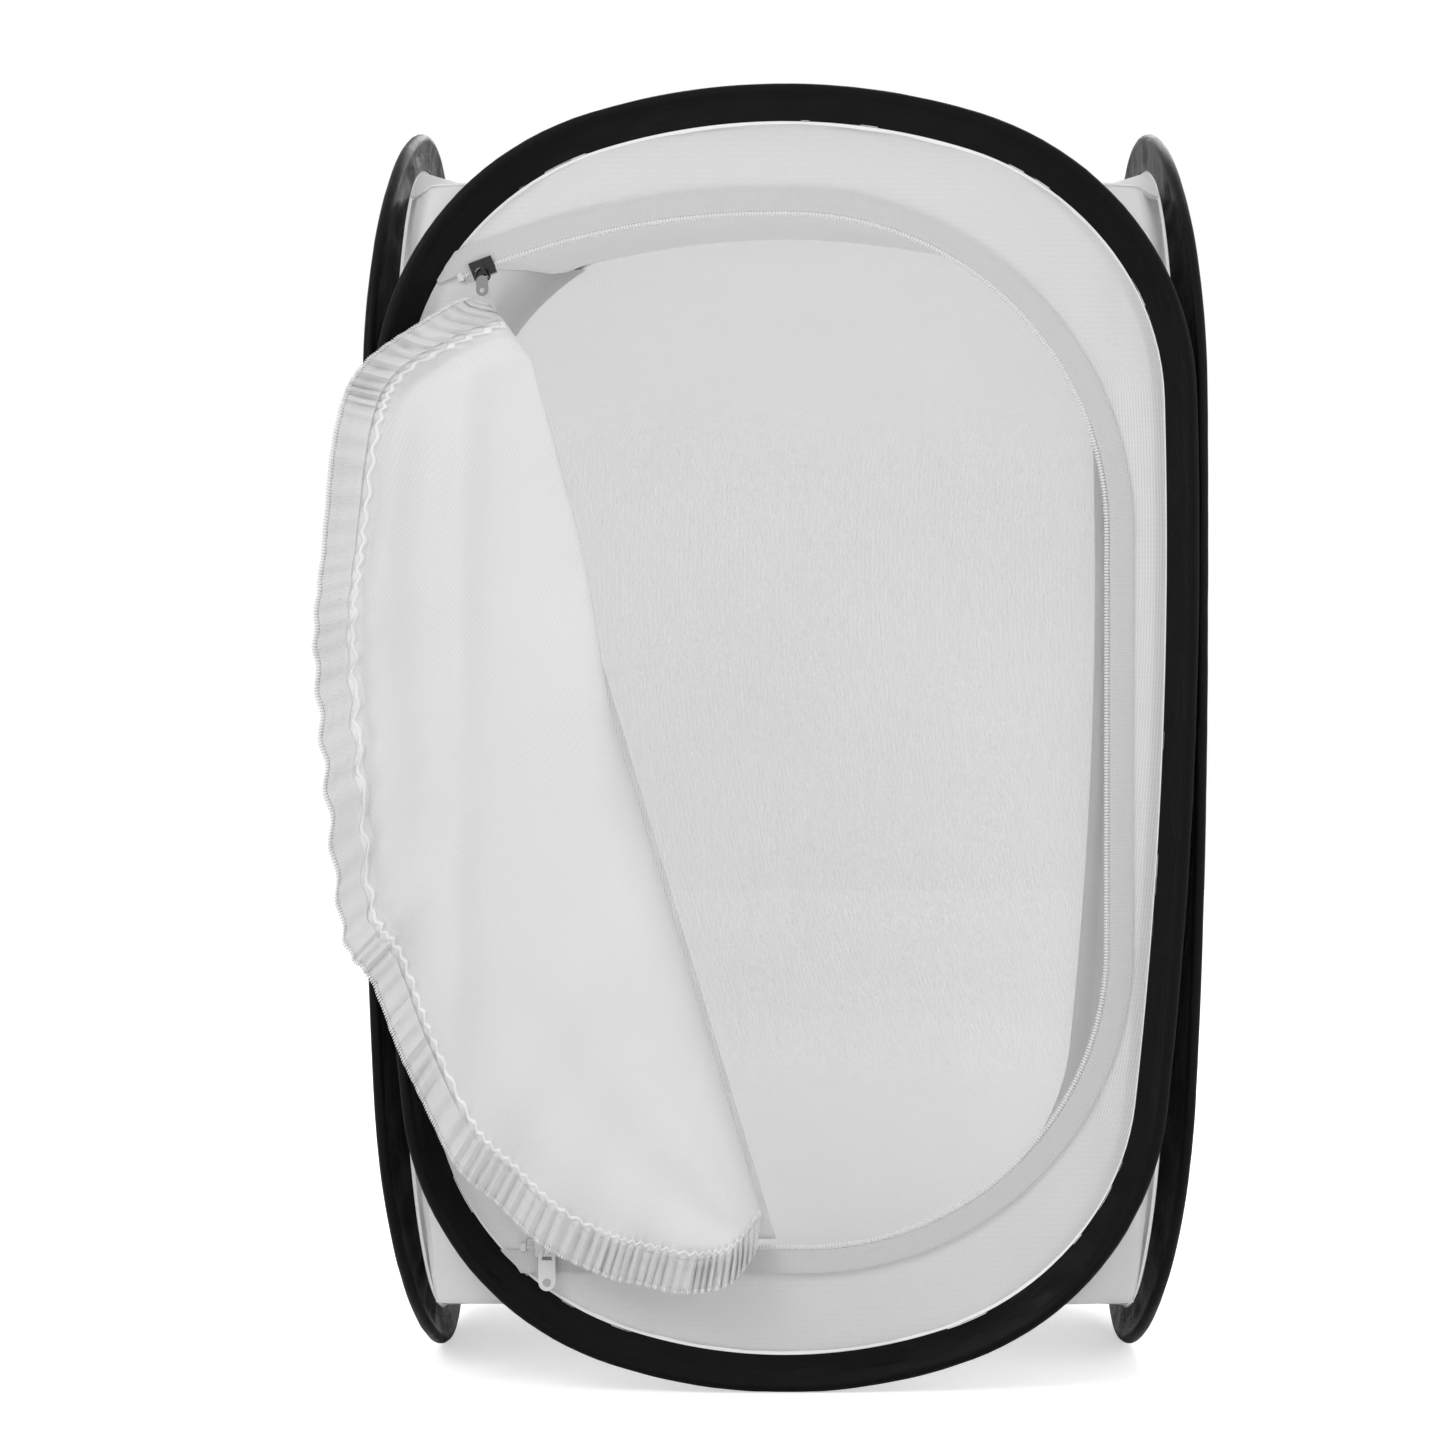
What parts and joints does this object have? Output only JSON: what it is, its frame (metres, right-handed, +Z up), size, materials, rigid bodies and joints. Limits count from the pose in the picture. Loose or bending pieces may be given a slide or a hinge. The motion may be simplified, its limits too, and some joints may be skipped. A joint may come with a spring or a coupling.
{
  "type": "pop-up insect cage",
  "caption": "Folding insect cage with black sleeved wire hoops, white mesh faces and a zipped door hanging open.",
  "frame": {"origin": "middle of the floor panel's underside, on the surface the cage stands on", "axes": "+Z up, -Y towards the zipped front face, +X to the right seen from the front"},
  "size_m": [0.4057, 0.3963, 0.5998],
  "materials": {
    "sleeve": "black satin tape",
    "mesh": "fine white mesh",
    "solid_fabric": "thin white polyester",
    "tape": "woven zip tape",
    "coil": "nylon zip coil",
    "flap": "sheer white mesh",
    "steel": "spring wire",
    "chrome": "polished",
    "black_metal": "black gloss",
    "clear_pull": "pale grey"
  },
  "bodies": {
    "front_frame": {"front_hoop_sleeve": "sleeve", "front_hoop_wire": "steel", "front_wire_ferrule": "steel", "front_panel": "mesh", "top_panel": "solid_fabric", "floor_panel": "solid_fabric", "front_right_top_gusset": "solid_fabric", "front_right_corner_seam": "solid_fabric", "front_right_bottom_gusset": "solid_fabric", "front_left_top_gusset": "solid_fabric", "front_left_corner_seam": "solid_fabric", "front_left_bottom_gusset": "solid_fabric", "zip_frame_tape": "tape", "zip_frame_coil": "coil", "upper_end_stop": "coil", "lower_end_stop": "coil"},
    "left_side": {"left_hoop_sleeve": "sleeve", "left_hoop_wire": "steel", "left_wire_ferrule": "steel", "left_panel": "mesh", "back_left_top_gusset": "solid_fabric", "back_left_corner_seam": "solid_fabric", "back_left_bottom_gusset": "solid_fabric"},
    "right_side": {"right_hoop_sleeve": "sleeve", "right_hoop_wire": "steel", "right_wire_ferrule": "steel", "right_panel": "mesh", "back_right_top_gusset": "solid_fabric", "back_right_corner_seam": "solid_fabric", "back_right_bottom_gusset": "solid_fabric"},
    "back_side": {"back_hoop_sleeve": "sleeve", "back_hoop_wire": "steel", "back_wire_ferrule": "steel", "back_panel": "mesh"},
    "door": {"door_flap": "flap", "zip_door_tape": "tape", "zip_door_coil": "coil"},
    "upper_slider_body": {"upper_slider": "black_metal"},
    "upper_pull": {"upper_pull_ring": "black_metal", "upper_pull_tab": "chrome"},
    "lower_slider_body": {"lower_slider": "black_metal"},
    "lower_pull": {"lower_pull_tab": "clear_pull"}
  },
  "joints": [
    {"name": "left_fold", "type": "hinge", "parent": "front_frame", "child": "left_side", "pos_m": [-0.17377, -0.17377, 0.3], "axis": [0, 0, -1], "range_deg": [0, 75], "deforming": ["top_panel", "floor_panel", "front_left_top_gusset", "front_left_corner_seam", "front_left_bottom_gusset"]},
    {"name": "right_fold", "type": "hinge", "parent": "front_frame", "child": "right_side", "pos_m": [0.18988, -0.18988, 0.3], "axis": [0, 0, -1], "range_deg": [0, 75], "deforming": ["front_right_top_gusset", "front_right_corner_seam", "front_right_bottom_gusset", "back_right_top_gusset", "back_right_corner_seam", "back_right_bottom_gusset"]},
    {"name": "back_fold", "type": "hinge", "parent": "left_side", "child": "back_side", "pos_m": [-0.18988, 0.18988, 0.3], "axis": [0, 0, -1], "range_deg": [-75, 0], "deforming": ["back_left_top_gusset", "back_left_corner_seam", "back_left_bottom_gusset"]},
    {"name": "door_swing", "type": "hinge", "parent": "front_frame", "child": "door", "pos_m": [-0.0705, -0.17655, 0.29098], "axis": [-0.2885, -0.0148, 0.9574], "range_deg": [0, 120]},
    {"name": "upper_slider_run", "type": "hinge", "parent": "front_frame", "child": "upper_slider_body", "pos_m": [-0.004, -0.18023, 0.169], "axis": [0, 1, 0], "range_deg": [0, 21]},
    {"name": "upper_pull_swing", "type": "hinge", "parent": "upper_slider_body", "child": "upper_pull", "pos_m": [-0.138, -0.18353, 0.51496], "axis": [-1, 0, 0], "range_deg": [0, 150]},
    {"name": "lower_slider_run", "type": "slide", "parent": "front_frame", "child": "lower_slider_body", "axis": [1, 0, 0], "range_m": [0, 0.08]},
    {"name": "lower_pull_swing", "type": "hinge", "parent": "lower_slider_body", "child": "lower_pull", "pos_m": [-0.109, -0.17658, 0.067], "axis": [-1, 0, 0], "range_deg": [0, 45]}
  ],
  "couplings": [
    {"joint": "right_fold", "follows": "left_fold", "ratio": 1},
    {"joint": "back_fold", "follows": "left_fold", "ratio": -1}
  ]
}
